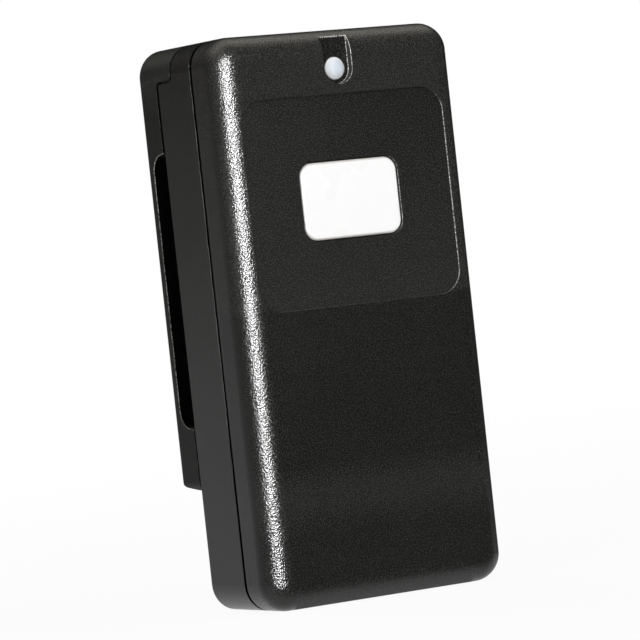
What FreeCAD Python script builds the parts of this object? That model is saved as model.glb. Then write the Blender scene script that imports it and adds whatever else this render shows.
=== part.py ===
import FreeCAD, Part
import math
import os

Vector = FreeCAD.Vector

# A staff alarm pendant: a two-part moulded case with a call button, a status
# light in a notch at the top, and a belt clip screwed to its back.
# Millimetres, Z up. Shapes are drawn with the front face at y = 0 and moved
# when they are saved, so that the origin is under the middle of the object.

# Case
case_width = 44.0
case_height = 90.0
case_depth = 19.5
wall = 2.0
corner_radius = 4.5
front_edge_radius = 4.1
rear_edge_chamfer = 0.3
inner_front_chamfer = 1.4
inner_rear_chamfer = 0.8
parting_y = 8.25
parting_groove = 0.7
lip_inset = 0.9
lip_clearance = 0.1
lip_length = 2.3

# Shallow recess for a label on the front
label_side = 3.35
label_drop = 10.3
label_under_button = 16.65
label_radius = 4.0
label_depth = 0.35

# Push button
button_width = 17.7
button_height = 12.2
button_on_board = 8.6
button_radius = 2.2
button_edge = 0.5
button_gap = 0.2
button_proud = 0.1
button_travel = 0.5
button_skin = 1.2
button_flange = 0.9
button_flange_thick = 0.8
button_flange_clearance = 0.1
stem_radius = 2.2

# Notch with the status light
notch_width = 5.1
notch_drop = 6.25
notch_depth = 1.2
lens_radius = 1.75
lens_gap = 0.12
lens_height = 0.65
lens_pad = 1.4
lens_flange = 0.8
lens_flange_thick = 0.7
lens_reach = 1.7
guide_inset = 0.2

# Belt clip
clip_step_y = 14.7
clip_head = 5.7
clip_step_radius = 0.9
clip_shelf_radius = 0.8
clip_seat_drop = 16.6
clip_gap = 4.08
clip_strip = 2.15
clip_slot_radius = 2.9
clip_slot_slant = 0.6
clip_joint = 0.4
clip_joint_depth = 0.7
clip_back_edge = 1.0
clip_wall = 1.7
foot_top = 29.3
foot_bottom = 19.3
foot_slope = 1.0
foot_clearance = 0.1
foot_edge = 0.3
foot_corner = 2.2
foot_side_corner = 1.5
core_radius = 1.0
core_step = 1.5

# Screws: thread radius, head radius and head height
thread_radius = 1.1
thread_clearance = 0.15
pilot_clearance = 0.03
pilot_floor = 0.5
head_radius = 1.95
head_height = 1.3
drive_radius = 1.1
drive_slot = 0.25
drive_depth = 0.7
boss_wall = 1.6
socket_wall = 1.0

# Case screws, at the lower corners
case_screw_side = 4.5
case_screw_z = 6.4
case_screw_depth = 4.0
case_screw_length = 11.0

# Clip screws, driven from inside the case
clip_screw_x = 12.0
clip_screw_drop = 11.3
clip_screw_length = 5.4

# Top hooks that hold the shells together
hook_x = 10.0
hook_width = 5.0
hook_thick = 1.0
hook_clearance = 0.15
hook_reach = 4.6
hook_nib = 1.3
hook_nib_height = 0.7

# Circuit board, held by two screws and two rests at its corners
board_thick = 1.6
board_front = 7.2
board_side_gap = 1.5
board_gap = 0.7
board_drop = 4.0
board_radius = 2.5
board_screw_side = 3.3
board_screw_inset = 4.0
board_screw_length = 5.0
board_rest = 3.4

# Tactile switch under the button
switch_size = 6.0
switch_height = 3.4
switch_floor = 0.5
switch_cover_thick = 0.25
switch_tab_length = 1.6
switch_tab_width = 2.4
plunger_radius = 1.7
plunger_fit = 0.06
plunger_stand = 0.6
plunger_length = 1.8
collar_radius = 2.15
collar_thick = 0.5
collar_gap = 0.1
collar_run = 0.25
dome_radius = 1.6
dome_height = 0.45
dome_thick = 0.12

# Parts on the board
led_width = 3.5
led_height = 2.8
led_thick = 1.9
led_cup_front = 1.15
led_cup_back = 0.7
led_cup_depth = 0.5
chip_size = 7.0
chip_thick = 1.1
chip_x = -8.0
chip_up = 8.5
module_x = 4.0
module_drop = 11.5
module_width = 16.0
module_height = 12.0
module_thick = 0.8
shield_height = 2.2
shield_sheet = 0.25
shield_inset = 1.0
crystal_x = -8.0
crystal_up = 16.0
crystal_length = 7.0
crystal_width = 3.6
crystal_thick = 2.6
crystal_round = 1.6
capacitor_xs = (1.0, 9.0)
capacitor_up = 3.0
capacitor_width = 4.6
capacitor_height = 3.2
capacitor_thick = 2.4
loop_strip = 1.2
loop_thick = 0.6
loop_stand = 3.0
loop_side = 3.5
loop_bend = 1.5
loop_inset = 1.4

# Two cells side by side and what holds them
cell_radius = 5.25
cell_length = 43.7
cell_nub_radius = 1.9
cell_nub_length = 0.8
cell_spacing = 11.0
cell_clearance = 0.15
holder_wall = 1.2
holder_bottom = 2.9
holder_side = 7.6
finger_height = 16.0
finger_floor = 3.5
spring_length = 3.2
leaf_width = 4.0
leaf_reach = 3.4
leaf_thick = 0.3
contact_thick = 0.4
contact_size = 8.6
contact_low = 4.3
tab_width = 2.4
tab_overlap = 1.2
pad_width = 16.0
pad_length = 26.0
pad_squeeze = 0.1
rib_thick = 1.0
rib_height = 3.0
rib_inset = 8.0

# How far a cutting shape runs past a surface, and a joined one into a wall
past = 1.0
sunk = 0.5

# Places that follow from the sizes above
half_width = case_width / 2
overall_depth = case_depth + clip_gap + clip_strip
clip_back = overall_depth
front_rim = parting_y - parting_groove / 2
rear_rim = parting_y + parting_groove / 2
lip_end = front_rim + lip_length
inner_rear = case_depth - wall
case_seat = case_depth - case_screw_depth
case_screw_x = half_width - case_screw_side
clip_step_z = case_height - clip_head
clip_seat_end = case_height - clip_seat_drop
clip_screw_z = case_height - clip_screw_drop
notch_z = case_height - notch_drop
board_back = board_front + board_thick
button_face = label_depth - button_proud
flange_front = wall + button_flange_clearance
flange_back = flange_front + button_flange_thick
lens_back = notch_depth + lens_pad
switch_front = board_front - switch_height
cover_front = switch_front - switch_cover_thick
plunger_front = cover_front - plunger_stand
cell_y = inner_rear - holder_wall - cell_clearance - cell_radius
contact_floor = holder_bottom + holder_wall
holder_top = (
    contact_floor + 2 * contact_thick + spring_length
    + cell_length + cell_nub_length + holder_wall
)
holder_middle = (holder_bottom + holder_top) / 2
holder_half = cell_spacing / 2 + cell_radius + cell_clearance + holder_wall
board_half = half_width - wall - board_side_gap
board_bottom = holder_top + board_gap
board_top = case_height - board_drop
board_screw_x = board_half - board_screw_side
board_low = board_bottom + board_screw_inset
board_high = board_top - board_screw_inset
board_screw_places = ((-board_screw_x, board_high), (board_screw_x, board_low))
board_rest_places = ((board_screw_x, board_high), (-board_screw_x, board_low))
button_z = board_bottom + button_on_board
button_low = button_z - button_height / 2
button_high = button_z + button_height / 2
label_bottom = button_z - label_under_button
label_top = case_height - label_drop
module_z = board_top - module_drop
crystal_z = board_bottom + crystal_up


def rounded_outline(points, place):
    """A closed wire through corners (u, v, radius), each rounded by an arc."""
    ends = []
    count = len(points)
    for i in range(count):
        u, v, radius = points[i]
        back = (points[i - 1][0] - u, points[i - 1][1] - v)
        ahead = (points[(i + 1) % count][0] - u, points[(i + 1) % count][1] - v)
        back_length = math.hypot(*back)
        ahead_length = math.hypot(*ahead)
        back = (back[0] / back_length, back[1] / back_length)
        ahead = (ahead[0] / ahead_length, ahead[1] / ahead_length)
        half = math.acos(back[0] * ahead[0] + back[1] * ahead[1]) / 2
        reach = radius / math.tan(half)
        middle = (back[0] + ahead[0], back[1] + ahead[1])
        scale = (radius / math.sin(half) - radius) / math.hypot(*middle)
        ends.append((
            place(u + back[0] * reach, v + back[1] * reach),
            place(u + middle[0] * scale, v + middle[1] * scale),
            place(u + ahead[0] * reach, v + ahead[1] * reach),
            radius,
        ))
    edges = []
    for i in range(count):
        start, middle, end, radius = ends[i]
        if radius > 0:
            edges.append(Part.Arc(start, middle, end).toShape())
        edges.append(Part.makeLine(end, ends[(i + 1) % count][0]))
    return Part.Wire(edges)


def front_block(half, low, high, radius, y_start, y_end, x=0.0, low_radius=None):
    """A rounded rectangle seen from the front, as deep as y_start to y_end."""
    foot = radius if low_radius is None else low_radius
    corners = [
        (x - half, low, foot),
        (x + half, low, foot),
        (x + half, high, radius),
        (x - half, high, radius),
    ]
    wire = rounded_outline(corners, lambda u, v: Vector(u, y_start, v))
    return Part.Face(wire).extrude(Vector(0, y_end - y_start, 0))


def side_block(corners, half):
    """A profile of (y, z, radius) corners seen from the side, 2 * half wide."""
    wire = rounded_outline(corners, lambda u, v: Vector(-half, u, v))
    return Part.Face(wire).extrude(Vector(2 * half, 0, 0))


def box(x0, x1, y0, y1, z0, z1):
    return Part.makeBox(x1 - x0, y1 - y0, z1 - z0, Vector(x0, y0, z0))


def rod(radius, y0, y1, x, z):
    """A round bar along Y."""
    return Part.makeCylinder(radius, y1 - y0, Vector(x, y0, z), Vector(0, 1, 0))


def edges_at(shape, y):
    """The edges that lie in the plane at one depth."""
    found = []
    for edge in shape.Edges:
        if edge.BoundBox.YMax - edge.BoundBox.YMin < 1e-4 and abs(edge.BoundBox.YMin - y) < 1e-4:
            found.append(edge)
    return found


def case_block(inset, y_start, y_end):
    """The case's outline, drawn in by an inset, between two depths."""
    radius = corner_radius - inset
    return front_block(half_width - inset, inset, case_height - inset, radius, y_start, y_end)


def screw(x, z, seat, length):
    """A cheese-head screw whose head sits on the plane y = seat and points to +Y."""
    top = seat + head_height
    head = rod(head_radius, seat, top, x, z)
    shank = rod(thread_radius, seat - length, seat, x, z)
    slots = [
        box(x - across, x + across, top - drive_depth, top + past, z - up, z + up)
        for across, up in ((drive_radius, drive_slot), (drive_slot, drive_radius))
    ]
    return head.fuse(shank).cut(slots)


def flip_y(shape, y):
    """The same shape turned end for end about the plane y."""
    return shape.mirror(Vector(0, y, 0), Vector(0, 1, 0))


def save(name, shape):
    """Moves a finished shape into the object's frame and writes it."""
    moved = shape.removeSplitter().copy()
    moved.translate(Vector(0, -overall_depth / 2, 0))
    moved.exportStep("parts/" + name + ".step")
    print(name, len(moved.Solids), moved.isValid(), round(moved.Volume, 1))


def front_shell():
    outer = case_block(0, 0, front_rim)
    outer = outer.makeFillet(front_edge_radius, edges_at(outer, 0))
    inner = case_block(wall, wall, front_rim + past)
    inner = inner.makeChamfer(inner_front_chamfer, edges_at(inner, wall))
    lip = case_block(lip_inset, front_rim, lip_end)
    lip = lip.cut(case_block(wall, front_rim - past, lip_end + past))
    shell = outer.cut(inner).fuse(lip)

    boss_radius = thread_radius + boss_wall
    pilot_radius = thread_radius + pilot_clearance
    bosses = []
    holes = []
    for side in (-1, 1):
        x = side * case_screw_x
        bosses.append(rod(boss_radius, wall - sunk, lip_end, x, case_screw_z))
        holes.append(rod(pilot_radius, wall + pilot_floor, lip_end + past, x, case_screw_z))
    for x, z in board_screw_places:
        bosses.append(rod(boss_radius, wall - sunk, board_front, x, z))
        holes.append(rod(pilot_radius, wall + pilot_floor, board_front + past, x, z))
    half_rest = board_rest / 2
    for x, z in board_rest_places:
        bosses.append(box(
            x - half_rest, x + half_rest, wall - sunk, board_front, z - half_rest, z + half_rest))
    bosses.append(rod(notch_width / 2 + wall, wall - sunk, lens_back, 0, notch_z))

    label = front_block(
        half_width - label_side, label_bottom, label_top, label_radius, -past, label_depth)
    opening = front_block(
        button_width / 2 + button_gap, button_low - button_gap, button_high + button_gap,
        button_radius + button_gap, -past, wall + past)
    notch = rod(notch_width / 2, -past, notch_depth, 0, notch_z)
    notch = notch.fuse(box(
        -notch_width / 2, notch_width / 2, -past, notch_depth, notch_z, case_height + past))
    lens_hole = rod(lens_radius + lens_gap, 0, lens_back + past, 0, notch_z)
    pockets = []
    for side in (-1, 1):
        x = side * hook_x
        half = hook_width / 2 + hook_clearance
        tongue = rear_rim - hook_reach
        pockets.append(box(
            x - half, x + half,
            tongue - hook_clearance, tongue + hook_nib + hook_clearance,
            case_height - wall - past, case_height - wall + hook_nib_height))
    return shell.fuse(bosses).cut([label, opening, notch, lens_hole] + pockets + holes)


def rear_outline():
    """The rear shell's outside, with the step at the top for the clip's head."""
    block = case_block(0, rear_rim, case_depth)
    block = block.makeChamfer(rear_edge_chamfer, edges_at(block, case_depth))
    profile = [
        (rear_rim, 0, 0),
        (case_depth, 0, 0),
        (case_depth, clip_step_z, clip_shelf_radius),
        (clip_step_y, clip_step_z, clip_step_radius),
        (clip_step_y, case_height, 0),
        (rear_rim, case_height, 0),
    ]
    return block.common(side_block(profile, half_width))


def rear_shell():
    inner = case_block(wall, rear_rim - past, inner_rear)
    inner = inner.makeChamfer(inner_rear_chamfer, edges_at(inner, inner_rear))
    step = box(
        -half_width, half_width, clip_step_y - wall, case_depth,
        clip_step_z - wall, case_height)
    rebate = case_block(lip_inset - lip_clearance, rear_rim - past, lip_end)
    shell = rear_outline().cut(inner.cut(step)).cut(rebate)

    added = []
    removed = []
    clear_radius = thread_radius + thread_clearance
    socket_radius = head_radius + thread_clearance
    tongue_top = case_height - wall - hook_clearance
    tongue_front = rear_rim - hook_reach
    for side in (-1, 1):
        x = side * case_screw_x
        added.append(rod(socket_radius + socket_wall, case_seat - wall, case_depth, x, case_screw_z))
        added.append(rod(thread_radius + boss_wall, lip_end, case_seat, x, case_screw_z))
        removed.append(rod(socket_radius, case_seat, case_depth + past, x, case_screw_z))
        removed.append(rod(clear_radius, lip_end - past, case_seat + past, x, case_screw_z))
        x = side * clip_screw_x
        removed.append(rod(clear_radius, inner_rear - past, case_depth + past, x, clip_screw_z))
        x = side * hook_x
        left = x - hook_width / 2
        right = x + hook_width / 2
        added.append(box(
            left, right, tongue_front, clip_step_y - wall + sunk, tongue_top - hook_thick, tongue_top))
        added.append(box(
            left, right, tongue_front, tongue_front + hook_nib,
            tongue_top - hook_thick, tongue_top + hook_nib_height))
        rib = side * (holder_half + cell_clearance + rib_thick / 2)
        added.append(box(
            rib - rib_thick / 2, rib + rib_thick / 2, inner_rear - rib_height, inner_rear + sunk,
            holder_bottom + rib_inset, holder_top - rib_inset))
    keep = case_block(wall - lip_inset, tongue_front, case_depth - rear_edge_chamfer)
    added = [piece.common(keep) for piece in added]
    return shell.fuse(added).cut(removed)


def clip_profile(joint):
    """The clip's side view; joint is how far its seat stands off the case."""
    seat = case_depth + joint
    strip = case_depth + clip_gap
    foot = case_depth + foot_clearance
    return [
        (clip_step_y + joint, case_height, 0),
        (clip_step_y + joint, clip_step_z + joint, clip_step_radius - joint),
        (seat, clip_step_z + joint, clip_shelf_radius + joint),
        (seat, clip_seat_end, 0),
        (strip, clip_seat_end - clip_slot_slant, clip_slot_radius),
        (strip, foot_top + clip_slot_slant, clip_slot_radius),
        (foot, foot_top, foot_edge),
        (foot, foot_bottom, foot_edge),
        (clip_back, foot_bottom + foot_slope, foot_corner),
        (clip_back, case_height, 0),
    ]


def belt_clip():
    rim = side_block(clip_profile(clip_joint), half_width)
    core = side_block(clip_profile(0), half_width - clip_joint_depth)
    inset = front_block(
        half_width - clip_joint_depth, foot_bottom - past, case_height - clip_joint_depth,
        corner_radius - clip_joint_depth, 0, clip_back)
    outline = front_block(
        half_width, foot_bottom, case_height, corner_radius, 0, clip_back,
        low_radius=foot_side_corner)
    outline = outline.makeFillet(clip_back_edge, edges_at(outline, clip_back))
    clip = rim.fuse(core.common(inset)).common(outline).removeSplitter()

    half = half_width - clip_wall
    deep = clip_back - clip_wall
    front = clip_step_y - past
    spans = (
        (clip_seat_end + clip_wall, clip_step_z, front),
        (clip_step_z - core_step, case_height - clip_wall, front),
        (foot_bottom + clip_wall + foot_slope, foot_top - clip_wall, case_depth - past),
    )
    cores = [
        front_block(half, low, high, core_radius, start, deep) for low, high, start in spans
    ]
    clip = clip.cut(cores)
    bosses = []
    holes = []
    for side in (-1, 1):
        x = side * clip_screw_x
        bosses.append(rod(
            thread_radius + boss_wall, case_depth, deep + sunk, x, clip_screw_z))
        holes.append(rod(
            thread_radius + pilot_clearance, case_depth - past, deep, x, clip_screw_z))
    return clip.fuse(bosses).cut(holes)


def push_button():
    cap = front_block(
        button_width / 2, button_low, button_high, button_radius, button_face, flange_front)
    cap = cap.makeFillet(button_edge, edges_at(cap, button_face))
    flange = front_block(
        button_width / 2 + button_flange, button_low - button_flange, button_high + button_flange,
        button_radius + button_flange, flange_front, flange_back)
    hollow = front_block(
        button_width / 2 - button_skin, button_low + button_skin, button_high - button_skin,
        button_radius - button_skin, button_face + button_skin, flange_back + past)
    stem = rod(stem_radius, button_face + sunk, plunger_front, 0, button_z)
    return cap.fuse(flange).cut(hollow).fuse(stem)


def led_lens():
    """A light pipe: a domed head in the notch, a flange behind the wall and a guide."""
    apex = notch_depth - lens_height
    sphere_radius = (lens_radius ** 2 + lens_height ** 2) / (2 * lens_height)
    ball = Part.makeSphere(sphere_radius, Vector(0, apex + sphere_radius, notch_z))
    tail = rod(lens_radius + past, notch_depth, lens_back, 0, notch_z)
    head = rod(lens_radius, apex - past, lens_back, 0, notch_z).common(ball.fuse(tail))
    flange_end = lens_back + lens_flange_thick
    flange = rod(lens_radius + lens_flange, lens_back, flange_end, 0, notch_z)
    guide = rod(lens_radius - guide_inset, lens_back, flange_end + lens_reach, 0, notch_z)
    return head.fuse([flange, guide])


def status_led():
    front = board_front - led_thick
    body = box(
        -led_width / 2, led_width / 2, front, board_front,
        notch_z - led_height / 2, notch_z + led_height / 2)
    cup = Part.makeCone(
        led_cup_front, led_cup_back, led_cup_depth, Vector(0, front, notch_z), Vector(0, 1, 0))
    return body.cut(cup)


def circuit_board():
    board = front_block(
        board_half, board_bottom, board_top, board_radius, board_front, board_back)
    clear_radius = thread_radius + thread_clearance
    return board.cut([
        rod(clear_radius, board_front - past, board_back + past, x, z)
        for x, z in board_screw_places
    ])


def board_screws():
    return Part.makeCompound([
        screw(x, z, board_back, board_screw_length) for x, z in board_screw_places
    ])


def case_screws():
    return Part.makeCompound([
        screw(side * case_screw_x, case_screw_z, case_seat, case_screw_length)
        for side in (-1, 1)
    ])


def clip_screws():
    return Part.makeCompound([
        flip_y(screw(side * clip_screw_x, clip_screw_z, inner_rear, clip_screw_length), inner_rear)
        for side in (-1, 1)
    ])


def switch_housing():
    half = switch_size / 2
    body = box(-half, half, switch_front, board_front, button_z - half, button_z + half)
    well_end = switch_front + collar_gap + collar_thick + button_travel + collar_run
    well = rod(collar_radius + plunger_fit, switch_front - past, well_end, 0, button_z)
    bore = rod(plunger_radius + plunger_fit, switch_front, board_front - switch_floor, 0, button_z)
    return body.cut([well, bore])


def switch_cover():
    half = switch_size / 2
    plate = box(-half, half, cover_front, switch_front, button_z - half, button_z + half)
    tabs = []
    for side in (-1, 1):
        x = side * (half + switch_cover_thick / 2)
        tabs.append(box(
            x - switch_cover_thick / 2, x + switch_cover_thick / 2,
            cover_front, cover_front + switch_tab_length,
            button_z - switch_tab_width / 2, button_z + switch_tab_width / 2))
    hole = rod(plunger_radius + plunger_fit, cover_front - past, switch_front + past, 0, button_z)
    return plate.fuse(tabs).cut(hole)


def switch_plunger():
    end = plunger_front + plunger_stand + switch_cover_thick + plunger_length
    pin = rod(plunger_radius, plunger_front, end, 0, button_z)
    collar_front = switch_front + collar_gap
    return pin.fuse(rod(collar_radius, collar_front, collar_front + collar_thick, 0, button_z))


def switch_dome():
    """A thin snap disc at the bottom of the switch, bulging to the plunger."""
    base = board_front - switch_floor
    radius = (dome_radius ** 2 + dome_height ** 2) / (2 * dome_height)
    centre = Vector(0, base - dome_height + radius, button_z)
    cap = Part.makeSphere(radius, centre).cut(Part.makeSphere(radius - dome_thick, centre))
    return cap.common(rod(dome_radius + past, base - dome_height - past, base, 0, button_z))


def on_board(x, z, width, height, thick):
    """A block on the back of the board, centred at x and z."""
    return box(
        x - width / 2, x + width / 2, board_back, board_back + thick, z - height / 2, z + height / 2)


def controller_chip():
    return on_board(chip_x, board_bottom + chip_up, chip_size, chip_size, chip_thick)


def radio_module():
    return on_board(module_x, module_z, module_width, module_height, module_thick)


def radio_shield():
    """A folded metal can, open towards the radio module."""
    half = module_width / 2 - shield_inset
    rise = module_height / 2 - shield_inset
    low = board_back + module_thick
    high = low + shield_height
    can = box(module_x - half, module_x + half, low, high, module_z - rise, module_z + rise)
    can = can.makeChamfer(shield_sheet, edges_at(can, high))
    half -= shield_sheet
    rise -= shield_sheet
    hollow = box(
        module_x - half, module_x + half, low - past, high - shield_sheet,
        module_z - rise, module_z + rise)
    return can.cut(hollow)


def crystal():
    return front_block(
        crystal_length / 2, crystal_z - crystal_width / 2, crystal_z + crystal_width / 2,
        crystal_round, board_back, board_back + crystal_thick, x=crystal_x)


def capacitors():
    return Part.makeCompound([
        on_board(x, board_bottom + capacitor_up, capacitor_width, capacitor_height, capacitor_thick)
        for x in capacitor_xs
    ])


def loop_block(inset, radius, z):
    """The loop aerial's outline seen from above, drawn in by an inset."""
    half = board_half - loop_side - inset
    foot = board_back - (past if inset else 0)
    top = board_back + loop_stand - inset
    corners = [(-half, foot, 0), (half, foot, 0), (half, top, radius), (-half, top, radius)]
    wire = rounded_outline(corners, lambda u, v: Vector(u, v, z))
    return Part.Face(wire).extrude(Vector(0, 0, loop_strip))


def antenna_loop():
    """A stamped strip that bridges the board, its two feet soldered to it."""
    z = board_top - loop_inset - loop_strip / 2
    return loop_block(0, loop_bend, z).cut(loop_block(loop_thick, loop_bend - loop_thick, z))


def cell(x, nub_up):
    """One round cell standing along Z, its nub at the top or the bottom."""
    low = contact_floor + contact_thick
    if nub_up:
        can_low = low + spring_length
        nub_low = can_low + cell_length
    else:
        can_low = low + cell_nub_length
        nub_low = low
    axis = Vector(0, 0, 1)
    can = Part.makeCylinder(cell_radius, cell_length, Vector(x, cell_y, can_low), axis)
    nub = Part.makeCylinder(cell_nub_radius, cell_nub_length, Vector(x, cell_y, nub_low), axis)
    return can.fuse(nub)


def battery_holder():
    cavity_half = holder_half - holder_wall
    mouth = inner_rear - holder_side
    body = box(-holder_half, holder_half, mouth, inner_rear, holder_bottom, holder_top)
    cavity = box(
        -cavity_half, cavity_half, mouth - past, inner_rear - holder_wall,
        holder_bottom + holder_wall, holder_top - holder_wall)
    finger = box(
        -holder_half - past, holder_half + past, mouth - past, inner_rear - finger_floor,
        holder_middle - finger_height / 2, holder_middle + finger_height / 2)
    return body.cut([cavity, finger])


def battery_pad():
    return box(
        -pad_width / 2, pad_width / 2, wall, cell_y - cell_radius - pad_squeeze,
        holder_middle - pad_length / 2, holder_middle + pad_length / 2)


def contact_plate(x, half, z):
    """One flat contact between a holder's end wall and a cell."""
    return box(
        x - half, x + half, cell_y - contact_low, inner_rear - holder_wall, z, z + contact_thick)


def battery_bridge():
    return contact_plate(0, (cell_spacing + contact_size) / 2, contact_floor)


def battery_terminals():
    """Two plates at the top of the holder, with tabs that lie on the board."""
    low = holder_top - holder_wall - contact_thick
    pieces = []
    for side in (-1, 1):
        x = side * cell_spacing / 2
        tab = box(
            x - tab_width / 2, x + tab_width / 2, board_back, board_back + contact_thick,
            low, board_bottom + tab_overlap)
        pieces.append(contact_plate(x, contact_size / 2, low).fuse(tab))
    return Part.makeCompound(pieces)


def leaf(x, z, upwards):
    """A bent contact leaf that presses on a cell's flat end."""
    turn = 1 if upwards else -1
    path = Part.makePolygon([
        Vector(x - leaf_width / 2, cell_y + y, z + turn * height)
        for y, height in (
            (-leaf_reach, leaf_thick),
            (leaf_reach, leaf_thick),
            (-0.2 * leaf_reach, spring_length - leaf_thick),
            (-0.8 * leaf_reach, 0.6 * spring_length),
        )
    ])
    side = path.makeOffset2D(leaf_thick, 0, True, True, False)
    return side.extrude(Vector(leaf_width, 0, 0))


def battery_springs():
    low = contact_floor + contact_thick
    high = holder_top - holder_wall - contact_thick
    return Part.makeCompound([
        leaf(-cell_spacing / 2, low, True),
        leaf(cell_spacing / 2, high, False),
    ])


def main():
    os.makedirs("parts", exist_ok=True)
    pieces = {
        "front_shell": front_shell(),
        "rear_shell": rear_shell(),
        "belt_clip": belt_clip(),
        "push_button": push_button(),
        "led_lens": led_lens(),
        "status_led": status_led(),
        "circuit_board": circuit_board(),
        "board_screws": board_screws(),
        "case_screws": case_screws(),
        "clip_screws": clip_screws(),
        "switch_housing": switch_housing(),
        "switch_cover": switch_cover(),
        "switch_plunger": switch_plunger(),
        "switch_dome": switch_dome(),
        "controller_chip": controller_chip(),
        "radio_module": radio_module(),
        "radio_shield": radio_shield(),
        "crystal": crystal(),
        "capacitors": capacitors(),
        "antenna_loop": antenna_loop(),
        "battery_cell_left": cell(-cell_spacing / 2, True),
        "battery_cell_right": cell(cell_spacing / 2, False),
        "battery_holder": battery_holder(),
        "battery_pad": battery_pad(),
        "battery_bridge": battery_bridge(),
        "battery_terminals": battery_terminals(),
        "battery_springs": battery_springs(),
    }
    for name, shape in pieces.items():
        save(name, shape)


main()
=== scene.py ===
import math

import bpy
from mathutils import Matrix, Quaternion, Vector


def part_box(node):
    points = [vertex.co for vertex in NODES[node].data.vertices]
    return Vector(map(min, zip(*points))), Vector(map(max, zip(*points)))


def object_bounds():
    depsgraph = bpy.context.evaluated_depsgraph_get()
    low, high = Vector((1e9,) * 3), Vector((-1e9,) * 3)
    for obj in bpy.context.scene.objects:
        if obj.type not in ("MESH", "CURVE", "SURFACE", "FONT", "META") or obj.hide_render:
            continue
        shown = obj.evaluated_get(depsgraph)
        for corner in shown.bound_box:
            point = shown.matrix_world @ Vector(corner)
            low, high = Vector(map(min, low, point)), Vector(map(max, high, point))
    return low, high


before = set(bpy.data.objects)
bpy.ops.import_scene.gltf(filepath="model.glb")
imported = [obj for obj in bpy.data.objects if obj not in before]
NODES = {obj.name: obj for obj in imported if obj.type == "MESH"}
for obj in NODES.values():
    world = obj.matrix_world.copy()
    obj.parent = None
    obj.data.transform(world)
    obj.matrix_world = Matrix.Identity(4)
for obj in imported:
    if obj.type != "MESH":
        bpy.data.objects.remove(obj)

# The looks of a staff alarm pendant: grained black plastic, a smooth white
# button and a pale light in the notch. Metres, in the frame of the CAD model.

MM = 0.001
CAD_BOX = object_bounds()
CASE_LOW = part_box("front_shell")[0]
FRONT_Y = CASE_LOW.y
TOP_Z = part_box("front_shell")[1].z
CASE_BACK_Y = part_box("rear_shell")[1].y
FRONT_RADIUS = 4.1 * MM

# The seam between the two shells, with painted shade in its groove
SEAM_Y = FRONT_Y + 8.25 * MM
SEAM_HALF = 0.4 * MM
SEAM_PAINTED_SHADE = 0.1

# The label recess in the front
LABEL_HALF = 18.65 * MM
LABEL_LOW = 46.45 * MM
LABEL_HIGH = 79.7 * MM
LABEL_RADIUS = 4.0 * MM
LABEL_DEPTH = 0.35 * MM

# The notch at the top, with the lens on its floor
LENS_LOW, LENS_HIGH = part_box("led_lens")
LENS_RADIUS = 1.75 * MM
LENS_Z = (LENS_LOW.z + LENS_HIGH.z) / 2
NOTCH_HALF = 2.55 * MM
NOTCH_DEPTH = 1.2 * MM
NOTCH_END_Z = TOP_Z - 1.2 * MM

# The button, how deep behind the front painted shade darkens it, and the opening round it
BUTTON_LOW, BUTTON_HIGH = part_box("push_button")
BUTTON_SHADE = (0.8 * MM, 1.1 * MM)
BUTTON_FLANGE = 0.9 * MM
BUTTON_GAP = 0.2 * MM
OPENING_HALF_X = BUTTON_HIGH.x - BUTTON_FLANGE + BUTTON_GAP
OPENING_HALF_Z = (BUTTON_HIGH.z - BUTTON_LOW.z) / 2 - BUTTON_FLANGE + BUTTON_GAP
OPENING_Z = (BUTTON_LOW.z + BUTTON_HIGH.z) / 2
OPENING_RADIUS = 2.4 * MM

# The belt slot between the case and the clip
SLOT_LOW = 29.3 * MM
SLOT_HIGH = 73.4 * MM
SLOT_GAP = 4.08 * MM
SLOT_RADIUS = 2.9 * MM
SLOT_SLANT = 0.6 * MM / SLOT_GAP

# The radius to which light softens sharp edges, on the front shell and on the rear pieces
FRONT_EDGE = 0.12 * MM
THIN_EDGE = 0.05 * MM

# The black plastic's tone, its hue, and the shade at which it is lightest
CASE_TONE = 0.0112
CLIP_TONE = 0.0125
BLACK_HUE = (1.0, 1.0, 0.925)
SHADE_MOST = 4.0

# Its grain, its specks of random tone that also stand in for painted glints, and its clouds; a scale
# counts cells in a metre
PEBBLE_SCALE = 4200.0
PEBBLE_DEPTH = 0.055 * MM
SPECK_SCALE = 5200.0
SPECK_GAIN = 2.0
CLOUD_SCALE = 45.0

# Its faces that turn sideways have a calmer grain and a painted darker shade, from one turn to the
# other
SIDE_TURN = (0.82, 0.97)
SIDE_GRAIN = 0.4
SIDE_PAINTED_SHADE = 0.35

# Faces behind the front shell that look forward lie inside, and painted shade keeps them dark
INNER_TURN = (-0.6, -0.1)
INNER_PAINTED_SHADE = 0.1
INNER_ROUGHNESS = 0.1

# Painted shade on the front where it stays dark, and the smooth floor of its notch
FRONT_PAINTED_SHADE = 0.05
DARK_ROUGHNESS = 0.8
NOTCH_GRAIN = 0.08
NOTCH_TONE = 0.6

# The painted highlights along edges, and the noise that breaks them up
EDGE_HIGHLIGHT_COLOR = (0.7, 0.69, 0.65)
LINE_HALF = 0.1 * MM
BREAK_SCALE = 3600.0

# The front's painted sheen: three places of the label recess, and the four heights of a band near
# the bottom
LABEL_SHEEN_LOW = 1.75
LABEL_SHEEN_LEFT = 1.6
LABEL_SHEEN_RIGHT = 1.05
SHEEN_BAND = (11.0 * MM, 16.0 * MM, 18.5 * MM, 22.5 * MM)
SHEEN_BAND_GAIN = 0.6

# The clip's sides: painted shade at its foot and a painted sheen at its head
FOOT_PAINTED_SHADE = 0.45
HEAD_PAINTED_SHEEN = 3.2

# Where the lens gets paler, in lens radii: at its rim, and in a crescent of painted highlight round
# a place on its right
LENS_RIM = (0.8, 0.93)
LENS_CRESCENT = (0.72, 0.86)
LENS_CRESCENT_X = 0.5
LENS_CRESCENT_GAIN = 0.42

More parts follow.
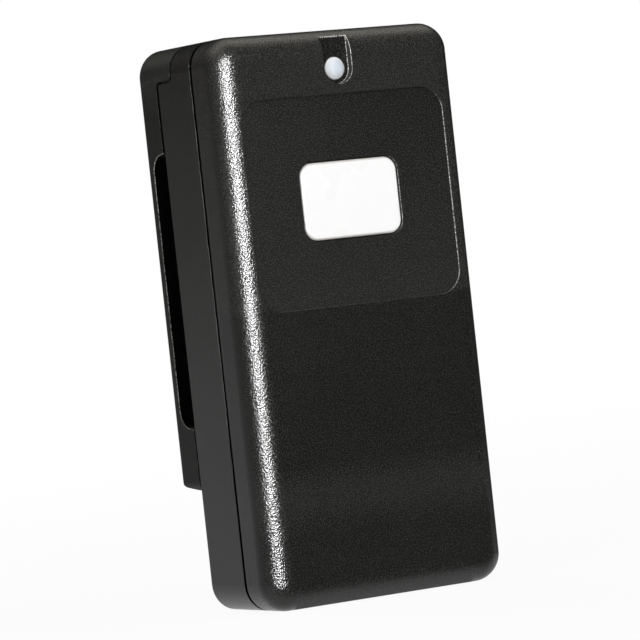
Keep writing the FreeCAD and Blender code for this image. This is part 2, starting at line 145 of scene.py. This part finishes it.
# Camera, as fitted to the outlines in the photograph
CAMERA_PLACE = (-330.66 * MM, -558.08 * MM, 55.24 * MM)
CAMERA_AZIMUTH = math.radians(30.595)
CAMERA_TILT = math.radians(0.958)
CAMERA_ROLL = math.radians(6.162)
FOCAL_PIXELS = 4051.7
IMAGE_PIXELS = 640
SENSOR = 36.0

# Light levels: the room's plain light, and what glossy surfaces see of the room
ROOM_LIGHT = 0.44
ROOM_GLOSS_LEFT = 0.13
ROOM_GLOSS_RIGHT = 0.07
ROOM_GLOSS_HIGH_LEFT = 0.3
ROOM_GLOSS_TOP = 1.9
ROOM_GLOSS_COLOR = (1.0, 0.97, 0.87, 1.0)
FAR_RIGHT_X = 0.51
FAR_RIGHT_Y = 0.86
FAR_RIGHT_LEVEL = 0.05
WHITE = (1.0, 1.0, 1.0, 1.0)

# The floor, and what glossy surfaces see of it before the case and beside it
FLOOR_SIZE = 8.0
FLOOR_COLOR = (0.8, 0.8, 0.8, 1.0)
FLOOR_GLOW_NEAR = 0.93
FLOOR_GLOSS_LEFT = 0.2
FLOOR_GLOSS_RIGHT = 0.08
FLOOR_GLOSS_BESIDE = 0.68
FLOOR_GLOSS_CLOSE = 0.8


def make_camera():
    data = bpy.data.cameras.new("camera")
    data.sensor_width = SENSOR
    data.lens = FOCAL_PIXELS * SENSOR / IMAGE_PIXELS
    data.clip_start = 0.01
    data.clip_end = 50.0
    camera = bpy.data.objects.new("camera", data)
    bpy.context.scene.collection.objects.link(camera)
    ca, sa = math.cos(CAMERA_AZIMUTH), math.sin(CAMERA_AZIMUTH)
    ct, st = math.cos(CAMERA_TILT), math.sin(CAMERA_TILT)
    forward = Vector((sa * ct, ca * ct, -st))
    right = Vector((ca, -sa, 0.0))
    down = forward.cross(right)
    cr, sr = math.cos(CAMERA_ROLL), math.sin(CAMERA_ROLL)
    rolled_right = cr * right + sr * down
    rolled_down = cr * down - sr * right
    turn = Matrix((rolled_right, -rolled_down, -forward)).transposed()
    camera.matrix_world = Matrix.Translation(CAMERA_PLACE) @ turn.to_4x4()
    bpy.context.scene.camera = camera


class Graph:
    """A small helper that adds and joins shader nodes."""

    def __init__(self, tree):
        self.tree = tree
        tree.nodes.clear()

    def add(self, kind, inputs=None, **settings):
        node = self.tree.nodes.new("ShaderNode" + kind)
        for key, value in settings.items():
            setattr(node, key, value)
        for key, value in (inputs or {}).items():
            if isinstance(value, bpy.types.NodeSocket):
                self.tree.links.new(value, node.inputs[key])
            else:
                node.inputs[key].default_value = value
        return node

    def math(self, operation, a, b=0.0, c=0.0):
        return self.add("Math", {0: a, 1: b, 2: c}, operation=operation).outputs[0]

    def minus(self, a, b):
        return self.math("SUBTRACT", a, b)

    def times(self, *values):
        result = values[0]
        for value in values[1:]:
            result = self.math("MULTIPLY", result, value)
        return result

    def larger(self, *values):
        result = values[0]
        for value in values[1:]:
            result = self.math("MAXIMUM", result, value)
        return result

    def inside(self, value, low, high):
        """1 where value lies between low and high, else 0."""
        above = self.math("GREATER_THAN", value, low)
        below = self.math("LESS_THAN", value, high)
        return self.times(above, below)

    def near(self, value, target, within):
        """1 where value is no further than within from target, else 0."""
        return self.math("COMPARE", value, target, within)

    def spread(self, value, low, high, to_low, to_high):
        """Maps value from low..high to to_low..to_high, kept between them."""
        inputs = {0: value, 1: low, 2: high, 3: to_low, 4: to_high}
        return self.add("MapRange", inputs, clamp=True).outputs[0]

    def blend(self, share, start, end):
        """The number start where share is 0 and end where it is 1."""
        return self.add("Mix", {0: share, 2: start, 3: end}).outputs[0]

    def blend_color(self, share, start, end):
        """The colour start where share is 0 and end where it is 1."""
        return self.add("Mix", {0: share, 6: start, 7: end}, data_type="RGBA").outputs[2]

    def noise(self, place, scale, detail=2.0, roughness=0.5):
        inputs = {"Vector": place, "Scale": scale, "Detail": detail, "Roughness": roughness}
        return self.add("TexNoise", inputs).outputs["Fac"]

    def tint(self, value, dark, light):
        ramp = self.add("ValToRGB", {0: value})
        ramp.color_ramp.elements[0].color = (*dark, 1.0)
        ramp.color_ramp.elements[1].color = (*light, 1.0)
        return ramp.outputs[0]

    def bump(self, height, strength, distance):
        inputs = {"Height": height, "Strength": strength, "Distance": distance}
        return self.add("Bump", inputs).outputs[0]

    def principled(self, color, roughness, normal=None, **constants):
        inputs = {"Base Color": color, "Roughness": roughness}
        if normal is not None:
            inputs["Normal"] = normal
        for key, value in constants.items():
            inputs[key.replace("_", " ")] = value
        shader = self.add("BsdfPrincipled", inputs)
        self.add("OutputMaterial", {"Surface": shader.outputs[0]})


class Spot:
    """The place that is being shaded, along its axes, and how its surface is turned."""

    def __init__(self, graph):
        self.graph = graph
        self.place = graph.add("TexCoord").outputs["Object"]
        axes = graph.add("SeparateXYZ", {0: self.place}).outputs
        self.x, self.y, self.z = axes["X"], axes["Y"], axes["Z"]

    def depth(self):
        """How far the place lies behind the front."""
        return self.graph.minus(self.y, FRONT_Y)

    def facing(self, axis):
        """How far the surface faces along one axis, from -1 to 1."""
        normal = self.graph.add("TexCoord").outputs["Normal"]
        return self.graph.add("SeparateXYZ", {0: normal}).outputs[axis]


def material(name):
    made = bpy.data.materials.new(name)
    made.use_nodes = True
    return made, Graph(made.node_tree)


def make_world():
    """White where the camera looks. Glossy surfaces see a room that is darker on
    the right, with a long light overhead, a little behind the object."""
    world = bpy.data.worlds.new("studio")
    world.use_nodes = True
    bpy.context.scene.world = world
    graph = Graph(world.node_tree)
    path = graph.add("LightPath").outputs
    axes = graph.add("SeparateXYZ", {0: graph.add("TexCoord").outputs["Generated"]}).outputs
    x, y, z = axes["X"], axes["Y"], axes["Z"]
    level = graph.spread(x, -0.6, 0.9, ROOM_GLOSS_LEFT, ROOM_GLOSS_RIGHT)
    rise = graph.spread(z, 0.1, 0.6, 0.0, ROOM_GLOSS_HIGH_LEFT)
    left = graph.spread(x, -0.9, -0.1, 1.0, 0.0)
    level = graph.math("MULTIPLY_ADD", rise, left, level)
    far_right = graph.math("MULTIPLY_ADD", y, FAR_RIGHT_Y, graph.times(x, FAR_RIGHT_X))
    level = graph.times(level, graph.spread(far_right, 0.55, 0.92, 1.0, FAR_RIGHT_LEVEL))
    top = graph.spread(z, 0.55, 0.8, 0.0, ROOM_GLOSS_TOP)
    not_before = graph.spread(y, -0.35, 0.2, 0.0, 1.0)
    not_behind = graph.spread(y, 0.35, 0.6, 1.0, 0.0)
    top = graph.times(top, not_before, not_behind)
    glossy_level = graph.math("ADD", level, top)
    plain = graph.add("Background", {"Color": WHITE, "Strength": ROOM_LIGHT}).outputs[0]
    gloss = graph.add("Background", {"Color": ROOM_GLOSS_COLOR, "Strength": glossy_level}).outputs[0]
    white = graph.add("Background", {"Color": WHITE, "Strength": 1.0}).outputs[0]
    seen = graph.larger(path["Is Camera Ray"], path["Is Transmission Ray"])
    room = graph.add("MixShader", {0: path["Is Glossy Ray"], 1: plain, 2: gloss}).outputs[0]
    shown = graph.add("MixShader", {0: seen, 1: room, 2: white}).outputs[0]
    graph.add("OutputWorld", {"Surface": shown})


def floor_gloss(graph, spot):
    """How bright glossy surfaces see the floor: dim before the case, bright beside
    it, with a painted shadow under it and behind it, and dark further back on the right."""
    before = graph.spread(spot.x, -30 * MM, 30 * MM, FLOOR_GLOSS_LEFT, FLOOR_GLOSS_RIGHT)
    beside = graph.spread(spot.x, 1.6 * CASE_LOW.x, 1.05 * CASE_LOW.x,
                          FLOOR_GLOSS_BESIDE, FLOOR_GLOSS_CLOSE)
    past_front = graph.spread(spot.y, FRONT_Y - 4 * MM, FRONT_Y - 0.6 * MM, 0.0, 1.0)
    level = graph.blend(past_front, before, beside)
    # Painted shadow under the case in the floor's glow
    covered = graph.times(
        graph.spread(spot.y, FRONT_Y + 1 * MM, FRONT_Y + 4 * MM, 0.0, 1.0),
        graph.inside(spot.x, 0.75 * CASE_LOW.x, -0.75 * CASE_LOW.x))
    back_right = graph.times(
        graph.spread(spot.x, 5 * MM, 35 * MM, 0.0, 0.95),
        graph.spread(spot.y, -12 * MM, 10 * MM, 0.0, 1.0))
    return graph.times(level, graph.minus(1.0, graph.larger(covered, back_right)))


def floor_white():
    """A pale floor that keeps the object's shadow and is white further away."""
    made, graph = material("floor_white")
    path = graph.add("LightPath").outputs
    spot = Spot(graph)
    seen = graph.larger(path["Is Camera Ray"], path["Is Transmission Ray"])
    reach = graph.add("VectorMath", {0: spot.place}, operation="LENGTH").outputs["Value"]
    glow_share = graph.spread(reach, 0.12, 0.7, FLOOR_GLOW_NEAR, 1.0)
    share = graph.larger(graph.times(seen, glow_share), path["Is Glossy Ray"])
    strength = graph.blend(path["Is Glossy Ray"], 1.0, floor_gloss(graph, spot))
    diffuse = graph.add("BsdfDiffuse", {"Color": FLOOR_COLOR}).outputs[0]
    glow = graph.add("Emission", {"Color": WHITE, "Strength": strength}).outputs[0]
    mixed = graph.add("MixShader", {0: share, 1: diffuse, 2: glow}).outputs[0]
    graph.add("OutputMaterial", {"Surface": mixed})
    return made


def make_floor():
    mesh = bpy.data.meshes.new("floor")
    half = FLOOR_SIZE / 2
    corners = [(-half, -half, 0), (half, -half, 0), (half, half, 0), (-half, half, 0)]
    mesh.from_pydata(corners, [], [(0, 1, 2, 3)])
    floor = bpy.data.objects.new("floor", mesh)
    bpy.context.scene.collection.objects.link(floor)
    mesh.materials.append(floor_white())


def add_area(name, azimuth, elevation, distance, width, height, watts, lean=0.0):
    """A soft light round the object: azimuth 0 is in front, positive to the left.
    A lamp that leans has its lower end further left."""
    data = bpy.data.lights.new(name, "AREA")
    data.shape = "RECTANGLE"
    data.size = width
    data.size_y = height
    data.energy = watts
    lamp = bpy.data.objects.new(name, data)
    bpy.context.scene.collection.objects.link(lamp)
    a, e = math.radians(azimuth), math.radians(elevation)
    away = Vector((-math.sin(a) * math.cos(e), -math.cos(a) * math.cos(e), math.sin(e)))
    target = Vector((0.0, 0.0, (CAD_BOX[0].z + CAD_BOX[1].z) / 2))
    lamp.location = target + away * distance
    lamp.rotation_mode = "QUATERNION"
    turn = Quaternion((0.0, 0.0, 1.0), -math.radians(lean))
    lamp.rotation_quaternion = away.to_track_quat("Z", "Y") @ turn
    return lamp


def make_lights():
    """A soft light from the front left, a narrow softbox there that only glossy
    surfaces see, a weak fill from the right and a soft light behind."""
    key = add_area("key_soft", azimuth=46.5, elevation=14.0, distance=0.6,
                   width=0.85, height=0.4, watts=2.5)
    gloss = add_area("key_gloss", azimuth=36.0, elevation=5.0, distance=0.62,
                     width=0.16, height=0.5, watts=24.5, lean=25.0)
    fill = add_area("fill_soft", azimuth=-35.0, elevation=40.0, distance=1.2,
                    width=0.8, height=0.8, watts=3.5)
    back = add_area("back_soft", azimuth=180.0, elevation=5.0, distance=0.8,
                    width=0.5, height=0.5, watts=5.0)
    gloss.visible_diffuse = False
    for lamp in (key, fill, back):
        lamp.visible_glossy = False


def notch_floor(graph, spot):
    """1 on the smooth floor of the notch, else 0."""
    return graph.times(
        graph.inside(spot.depth(), NOTCH_DEPTH - 0.3 * MM, NOTCH_DEPTH + 0.2 * MM),
        graph.inside(spot.x, -NOTCH_HALF + 0.05 * MM, NOTCH_HALF - 0.05 * MM),
        graph.math("GREATER_THAN", spot.z, LENS_LOW.z - 1.0 * MM))


def label_floor(graph, spot):
    """1 on the floor of the label recess, else 0."""
    return graph.times(
        graph.inside(spot.depth(), LABEL_DEPTH - 0.1 * MM, LABEL_DEPTH + 0.1 * MM),
        graph.inside(spot.x, -LABEL_HALF, LABEL_HALF),
        graph.inside(spot.z, LABEL_LOW, LABEL_HIGH))


def outline_reach(graph, across, up, half_across, half_up, radius):
    """How far a point lies outside a rounded outline centred on zero, near its line."""
    out = graph.minus(graph.math("ABSOLUTE", across), half_across - radius)
    out = graph.larger(out, 0.0)
    rise = graph.minus(graph.math("ABSOLUTE", up), half_up - radius)
    rise = graph.larger(rise, 0.0)
    squared = graph.math("MULTIPLY_ADD", out, out, graph.times(rise, rise))
    return graph.minus(graph.math("SQRT", squared), radius)


def broken(graph, spot):
    """Breaks a thin line up, as the grain does along an edge."""
    return graph.spread(graph.noise(spot.place, BREAK_SCALE, 1.0), 0.42, 0.6, 0.08, 1.0)


def rounding_depth(graph, spot):
    """How far the front curves back at its upper end."""
    above = graph.larger(graph.minus(spot.z, TOP_Z - FRONT_RADIUS), 0.0)
    above = graph.math("DIVIDE", above, FRONT_RADIUS)
    curve = graph.math("SQRT", graph.minus(1.0, graph.times(above, above)))
    return graph.times(graph.minus(1.0, curve), FRONT_RADIUS)


def notch_marks(graph, spot):
    """Painted highlights along the notch's right side and across its upper end, and
    painted shade on its wall."""
    depth = spot.depth()
    reach = outline_reach(graph, spot.x, graph.minus(spot.z, TOP_Z),
                          NOTCH_HALF, TOP_Z - LENS_Z + NOTCH_HALF, NOTCH_HALF)
    at_front = graph.near(graph.minus(depth, rounding_depth(graph, spot)), 0.0, LINE_HALF)
    at_floor = graph.near(depth, NOTCH_DEPTH, LINE_HALF)
    below_end = graph.math("LESS_THAN", spot.z, NOTCH_END_Z)
    rim = graph.times(at_front, graph.near(reach, 0.0, 0.09 * MM), below_end)
    foot = graph.times(at_floor, graph.near(reach, 0.0, 0.11 * MM))
    # The painted highlights are stronger on the right, whose edges face the light from the left
    at_right = graph.spread(spot.x, -0.4 * MM, 1.2 * MM, 0.02, 0.8)
    sides = graph.times(graph.larger(rim, foot), at_right)
    end = graph.times(at_floor, graph.near(spot.z, NOTCH_END_Z, 0.13 * MM),
                      graph.near(spot.x, 0.0, NOTCH_HALF), 0.7)
    # Painted shade on the notch's wall
    wall = graph.times(graph.near(reach, 0.0, 0.08 * MM),
                       graph.near(depth, NOTCH_DEPTH / 2, NOTCH_DEPTH / 2 - 0.06 * MM))
    return graph.larger(sides, end), wall


def label_marks(graph, spot):
    """A painted highlight along the label recess's right side, and painted shade in a line round it.
    """
    depth = spot.depth()
    reach = outline_reach(graph, spot.x, graph.minus(spot.z, (LABEL_LOW + LABEL_HIGH) / 2),
                          LABEL_HALF, (LABEL_HIGH - LABEL_LOW) / 2, LABEL_RADIUS)
    wall = graph.near(reach, 0.0, 0.05 * MM)
    at_right = graph.spread(spot.x, 0.8 * LABEL_HALF, 0.95 * LABEL_HALF, 0.1, 0.75)
    below_top = graph.spread(spot.z, LABEL_HIGH - LABEL_RADIUS, LABEL_HIGH, 1.0, 0.0)
    line = graph.times(wall, graph.near(depth, 0.85 * LABEL_DEPTH, LINE_HALF), at_right, below_top)
    # Painted shade along the recess's wall
    dark = graph.times(wall, graph.near(depth, 0.3 * LABEL_DEPTH, 0.08 * MM))
    return line, dark


def opening_marks(graph, spot):
    """A painted highlight along the button opening's right side, and painted shade in the well in
    it.
    """
    depth = spot.depth()
    reach = outline_reach(graph, spot.x, graph.minus(spot.z, OPENING_Z),
                          OPENING_HALF_X, OPENING_HALF_Z, OPENING_RADIUS)
    at_right = graph.spread(spot.x, 0.8 * OPENING_HALF_X, OPENING_HALF_X, 0.0, 0.35)
    line = graph.times(graph.near(reach, 0.0, LINE_HALF),
                       graph.near(depth, LABEL_DEPTH, LINE_HALF), at_right)
    # Painted shade in the gap round the button
    well = graph.times(graph.math("LESS_THAN", reach, 0.05 * MM),
                       graph.math("GREATER_THAN", depth, LABEL_DEPTH + 0.06 * MM))
    return line, well


def front_marks(graph, spot):
    """The broken pale lines painted on the front as highlights, where the light from the left
    catches the edges that face it, and the painted shade there."""
    marks = [find(graph, spot) for find in (notch_marks, label_marks, opening_marks)]
    lines, darks = zip(*marks)
    return graph.times(graph.larger(*lines), broken(graph, spot)), graph.larger(*darks)


def slot_highlight_line(graph, spot):
    """A painted highlight: the pale broken line along the belt slot's edge on the clip's sides,
    clearest round its upper end."""
    back = graph.minus(spot.y, CASE_BACK_Y)
    bend = SLOT_GAP - SLOT_RADIUS
    up = graph.math("ABSOLUTE", graph.minus(spot.z, (SLOT_LOW + SLOT_HIGH) / 2))
    before_bend = graph.math("MINIMUM", graph.minus(back, bend), 0.0)
    up = graph.math("MULTIPLY_ADD", before_bend, SLOT_SLANT, up)
    half_up = (SLOT_HIGH - SLOT_LOW) / 2 - SLOT_SLANT * bend
    reach = outline_reach(graph, back, up, SLOT_GAP, half_up, SLOT_RADIUS)
    on_side = graph.math("GREATER_THAN", graph.math("ABSOLUTE", spot.x), -CASE_LOW.x - 0.1 * MM)
    upper = graph.spread(spot.z, SLOT_HIGH - 10 * MM, SLOT_HIGH - 3 * MM, 0.3, 0.7)
    return graph.times(graph.near(reach, 0.0, LINE_HALF), on_side, upper, broken(graph, spot))


def front_painted_sheen(graph, spot):
    """Painted sheen: how light the front's grain looks, paler in the label recess and above it,
    and in one soft band near the bottom."""
    upper = graph.spread(spot.x, -LABEL_HALF, 0.4 * LABEL_HALF, LABEL_SHEEN_LEFT, LABEL_SHEEN_RIGHT)
    rising = graph.spread(spot.z, LABEL_LOW, LABEL_HIGH, 0.0, 1.0)
    in_label = graph.blend(rising, LABEL_SHEEN_LOW, upper)
    above = graph.spread(spot.z, LABEL_LOW, LABEL_LOW + 1.0 * MM, 1.0, LABEL_SHEEN_LOW)
    rise = graph.spread(spot.z, SHEEN_BAND[0], SHEEN_BAND[1], 0.0, SHEEN_BAND_GAIN)
    fall = graph.spread(spot.z, SHEEN_BAND[2], SHEEN_BAND[3], 1.0, 0.0)
    beside = graph.math("MULTIPLY_ADD", rise, fall, above)
    return graph.blend(label_floor(graph, spot), beside, in_label)


def clip_painted_light(graph, spot, aside):
    """Painted light on the clip's sides: painted shade darkens the foot and a painted sheen lightens
    the head.
    """
    foot = graph.spread(spot.z, SLOT_LOW, SLOT_LOW + 4 * MM, FOOT_PAINTED_SHADE, 1.0)
    head = graph.spread(spot.z, SLOT_HIGH + 6 * MM, TOP_Z - 2 * MM, 1.0, HEAD_PAINTED_SHEEN)
    return graph.blend(graph.spread(aside, 0.3, 0.8, 0.0, 1.0), 1.0, graph.times(foot, head))


def grained_plastic(name, tone, edge, roughness=0.2, gloss=0.4, front=False, clip=False):
    """Black moulded plastic with a fine pebbled grain, calmer and with painted darker shade on the
    sides. The front has a smooth notch floor and a label recess of another, painted sheen."""
    made, graph = material(name)
    spot = Spot(graph)
    aside = graph.math("ABSOLUTE", spot.facing("X"))
    cloud = graph.noise(spot.place, CLOUD_SCALE, 3.0, 0.6)
    # Specks of random tone, partly painted glints of the grain
    speck = graph.spread(graph.noise(spot.place, SPECK_SCALE, 0.0), 0.5, 0.74, 0.0, SPECK_GAIN)
    shade = graph.math("ADD", speck, graph.spread(cloud, 0.25, 0.75, 0.7, 0.9))
    # Painted shade: faces that turn sideways are darkened
    shade = graph.times(shade, graph.spread(aside, *SIDE_TURN, 1.0, SIDE_PAINTED_SHADE))
    strength = graph.spread(aside, *SIDE_TURN, 1.0, SIDE_GRAIN)
    rough = graph.spread(cloud, 0.3, 0.7, roughness, roughness + 0.05)
    lines = 0.0
    if front:
        smooth = notch_floor(graph, spot)
        # The front's painted highlights, and where painted shade darkens it
        lines, dark = front_marks(graph, spot)
        strength = graph.times(strength, graph.spread(smooth, 0.0, 1.0, 1.0, NOTCH_GRAIN))
        # Painted sheen on the front, and painted shade where it stays dark
        shade = graph.times(shade, front_painted_sheen(graph, spot),
                            graph.spread(smooth, 0.0, 1.0, 1.0, NOTCH_TONE),
                            graph.spread(dark, 0.0, 1.0, 1.0, FRONT_PAINTED_SHADE))
        rough = graph.blend(dark, rough, DARK_ROUGHNESS)
    else:
        # Painted shade on forward-looking faces inside, such as the belt slot's
        outer = graph.spread(spot.facing("Y"), *INNER_TURN, INNER_PAINTED_SHADE, 1.0)
        shade = graph.times(shade, outer)
        strength = graph.times(strength, outer)
        rough = graph.blend(outer, INNER_ROUGHNESS, rough)
    if clip:
        # Painted highlight along the belt slot's edge
        lines = slot_highlight_line(graph, spot)
        # Painted shade at the clip's foot and painted sheen at its head
        shade = graph.times(shade, clip_painted_light(graph, spot, aside))
    # Painted shade: the seam's groove is darkened where shade falls in it
    seam = graph.near(spot.y, SEAM_Y, SEAM_HALF)
    shade = graph.times(shade, graph.spread(seam, 0.0, 1.0, 1.0, SEAM_PAINTED_SHADE))
    lightest = [tone * SHADE_MOST * hue for hue in BLACK_HUE]
    color = graph.blend_color(
        graph.math("DIVIDE", shade, SHADE_MOST), (0.0, 0.0, 0.0, 1.0), (*lightest, 1.0))
    # Painted highlights: pale lines where edges catch the light
    color = graph.blend_color(lines, color, (*EDGE_HIGHLIGHT_COLOR, 1.0))
    pebbles = graph.add("TexVoronoi", {
        "Vector": spot.place, "Scale": PEBBLE_SCALE, "Smoothness": 0.5}, feature="SMOOTH_F1")
    softened = graph.add("Bevel", {"Radius": edge}, samples=6).outputs[0]
    bump = graph.add("Bump", {
        "Height": pebbles.outputs["Distance"], "Strength": strength,
        "Distance": PEBBLE_DEPTH, "Normal": softened})
    graph.principled(color, rough, bump.outputs[0], Specular_IOR_Level=gloss)
    return made


def gloss_plastic(name, dark, light, roughness, gloss=0.5, subsurface=0.0, painted_end_shade=None):
    """Smooth moulded plastic with a very faint unevenness. The button's is given the colour
    of painted shade on its faces that turn up or down, and painted shade deep in its opening."""
    made, graph = material(name)
    spot = Spot(graph)
    cloud = graph.noise(spot.place, 120.0)
    ripple = graph.noise(spot.place, 900.0)
    color = graph.tint(cloud, dark, light)
    if painted_end_shade:
        # Painted shade: the button's faces that turn up or down take a warm grey
        turned = graph.math("ABSOLUTE", spot.facing("Z"))
        turned = graph.spread(turned, 0.1, 0.6, 0.0, 0.8)
        color = graph.blend_color(turned, color, (*painted_end_shade, 1.0))
        # Painted shade deep in the button's opening
        deep = graph.spread(spot.depth(), *BUTTON_SHADE, 0.0, 0.97)
        color = graph.blend_color(deep, color, (0.0, 0.0, 0.0, 1.0))
    rough = graph.spread(cloud, 0.3, 0.7, roughness, roughness + 0.06)
    graph.principled(
        color, rough, graph.bump(ripple, 1.0, 0.004 * MM), Specular_IOR_Level=gloss,
        Subsurface_Weight=subsurface, Subsurface_Radius=(1.2 * MM, 1.2 * MM, 1.2 * MM))
    return made


def lens_plastic():
    """A milky light pipe with a pale rim and a paler crescent towards the left, a painted highlight.
    """
    made, graph = material("lens_milky")
    spot = Spot(graph)
    x = graph.math("DIVIDE", spot.x, LENS_RADIUS)
    z = graph.math("DIVIDE", graph.minus(spot.z, LENS_Z), LENS_RADIUS)
    z_squared = graph.times(z, z)
    reach = graph.math("SQRT", graph.math("MULTIPLY_ADD", x, x, z_squared))
    aside = graph.minus(x, LENS_CRESCENT_X)
    aside_reach = graph.math("SQRT", graph.math("MULTIPLY_ADD", aside, aside, z_squared))
    rim = graph.spread(reach, *LENS_RIM, 0.0, 1.0)
    # Painted highlight: a paler crescent towards the left
    crescent = graph.spread(aside_reach, *LENS_CRESCENT, 0.0, LENS_CRESCENT_GAIN)
    milk = graph.math("MULTIPLY_ADD", graph.noise(spot.place, 900.0), 0.12, crescent)
    color = graph.tint(graph.larger(rim, milk), (0.69, 0.75, 0.82), (0.97, 0.98, 0.99))
    graph.principled(
        color, 0.5, Specular_IOR_Level=0.08,
        Subsurface_Weight=0.7, Subsurface_Radius=(0.5 * MM, 0.5 * MM, 0.5 * MM))
    return made


def metal(name, dark, light, roughness):
    """Metal with fine brushed lines that run along Z."""
    made, graph = material(name)
    stretched = graph.add("Mapping", {"Vector": Spot(graph).place, "Scale": (1.0, 1.0, 0.08)})
    brush = graph.noise(stretched.outputs[0], 2200.0, 3.0, 0.6)
    color = graph.tint(brush, dark, light)
    rough = graph.spread(brush, 0.3, 0.7, roughness, roughness + 0.14)
    graph.principled(color, rough, graph.bump(brush, 0.6, 0.004 * MM), Metallic=1.0)
    return made


def board_mask():
    """Green solder mask with faint traces of the copper below."""
    made, graph = material("solder_mask")
    place = Spot(graph).place
    cells = graph.add("TexVoronoi", {"Vector": place, "Scale": 420.0}, distance="MANHATTAN")
    traces = graph.spread(cells.outputs["Distance"], 0.35, 0.4, 0.0, 1.0)
    grain = graph.noise(place, 2500.0)
    height = graph.math("MULTIPLY_ADD", grain, 0.1, traces)
    color = graph.tint(traces, (0.012, 0.11, 0.05), (0.025, 0.19, 0.08))
    rough = graph.spread(grain, 0.3, 0.7, 0.3, 0.4)
    graph.principled(color, rough, graph.bump(height, 0.5, 0.02 * MM))
    return made


def foam():
    """Dark foam with open pores."""
    made, graph = material("foam_dark")
    inputs = {"Vector": Spot(graph).place, "Scale": 1800.0}
    pores = graph.add("TexVoronoi", inputs).outputs["Distance"]
    color = graph.tint(pores, (0.02, 0.02, 0.022), (0.06, 0.06, 0.062))
    graph.principled(color, 0.85, graph.bump(pores, 1.0, 0.12 * MM))
    return made


def wear(name, made):
    """Gives a CAD node its material."""
    mesh = NODES[name].data
    mesh.materials.clear()
    mesh.materials.append(made)


def dress_nodes():
    shell = grained_plastic("case_black", CASE_TONE, FRONT_EDGE, front=True)
    back = grained_plastic("case_black_rear", CASE_TONE, THIN_EDGE)
    clip = grained_plastic("clip_black", CLIP_TONE, THIN_EDGE, roughness=0.35, gloss=0.15, clip=True)
    white = gloss_plastic(
        "button_white", (0.95, 0.95, 0.945), (0.965, 0.965, 0.962), roughness=0.25,
        gloss=0.25, subsurface=0.1, painted_end_shade=(0.6, 0.56, 0.53))
    dark = gloss_plastic("component_dark", (0.02, 0.02, 0.022), (0.035, 0.035, 0.038), 0.4)
    sleeve = gloss_plastic("cell_sleeve", (0.2, 0.22, 0.24), (0.26, 0.28, 0.3), 0.3)
    steel = metal("steel_bright", (0.5, 0.5, 0.5), (0.68, 0.68, 0.67), 0.28)
    brass = metal("contact_brass", (0.62, 0.5, 0.28), (0.8, 0.68, 0.42), 0.3)
    green = board_mask()
    worn = {
        shell: ["front_shell"],
        back: ["rear_shell"],
        clip: ["belt_clip"],
        white: ["push_button", "status_led"],
        lens_plastic(): ["led_lens"],
        green: ["circuit_board", "radio_module"],
        steel: [
            "board_screws", "case_screws", "clip_screws", "switch_cover", "switch_dome",
            "radio_shield", "crystal", "capacitors",
        ],
        dark: ["switch_housing", "switch_plunger", "controller_chip", "battery_holder"],
        sleeve: ["battery_cell_left", "battery_cell_right"],
        foam(): ["battery_pad"],
        brass: ["antenna_loop", "battery_bridge", "battery_terminals", "battery_springs"],
    }
    for made, names in worn.items():
        for name in names:
            wear(name, made)


bpy.context.scene.view_settings.view_transform = "Standard"
make_camera()
make_world()
make_floor()
make_lights()
dress_nodes()
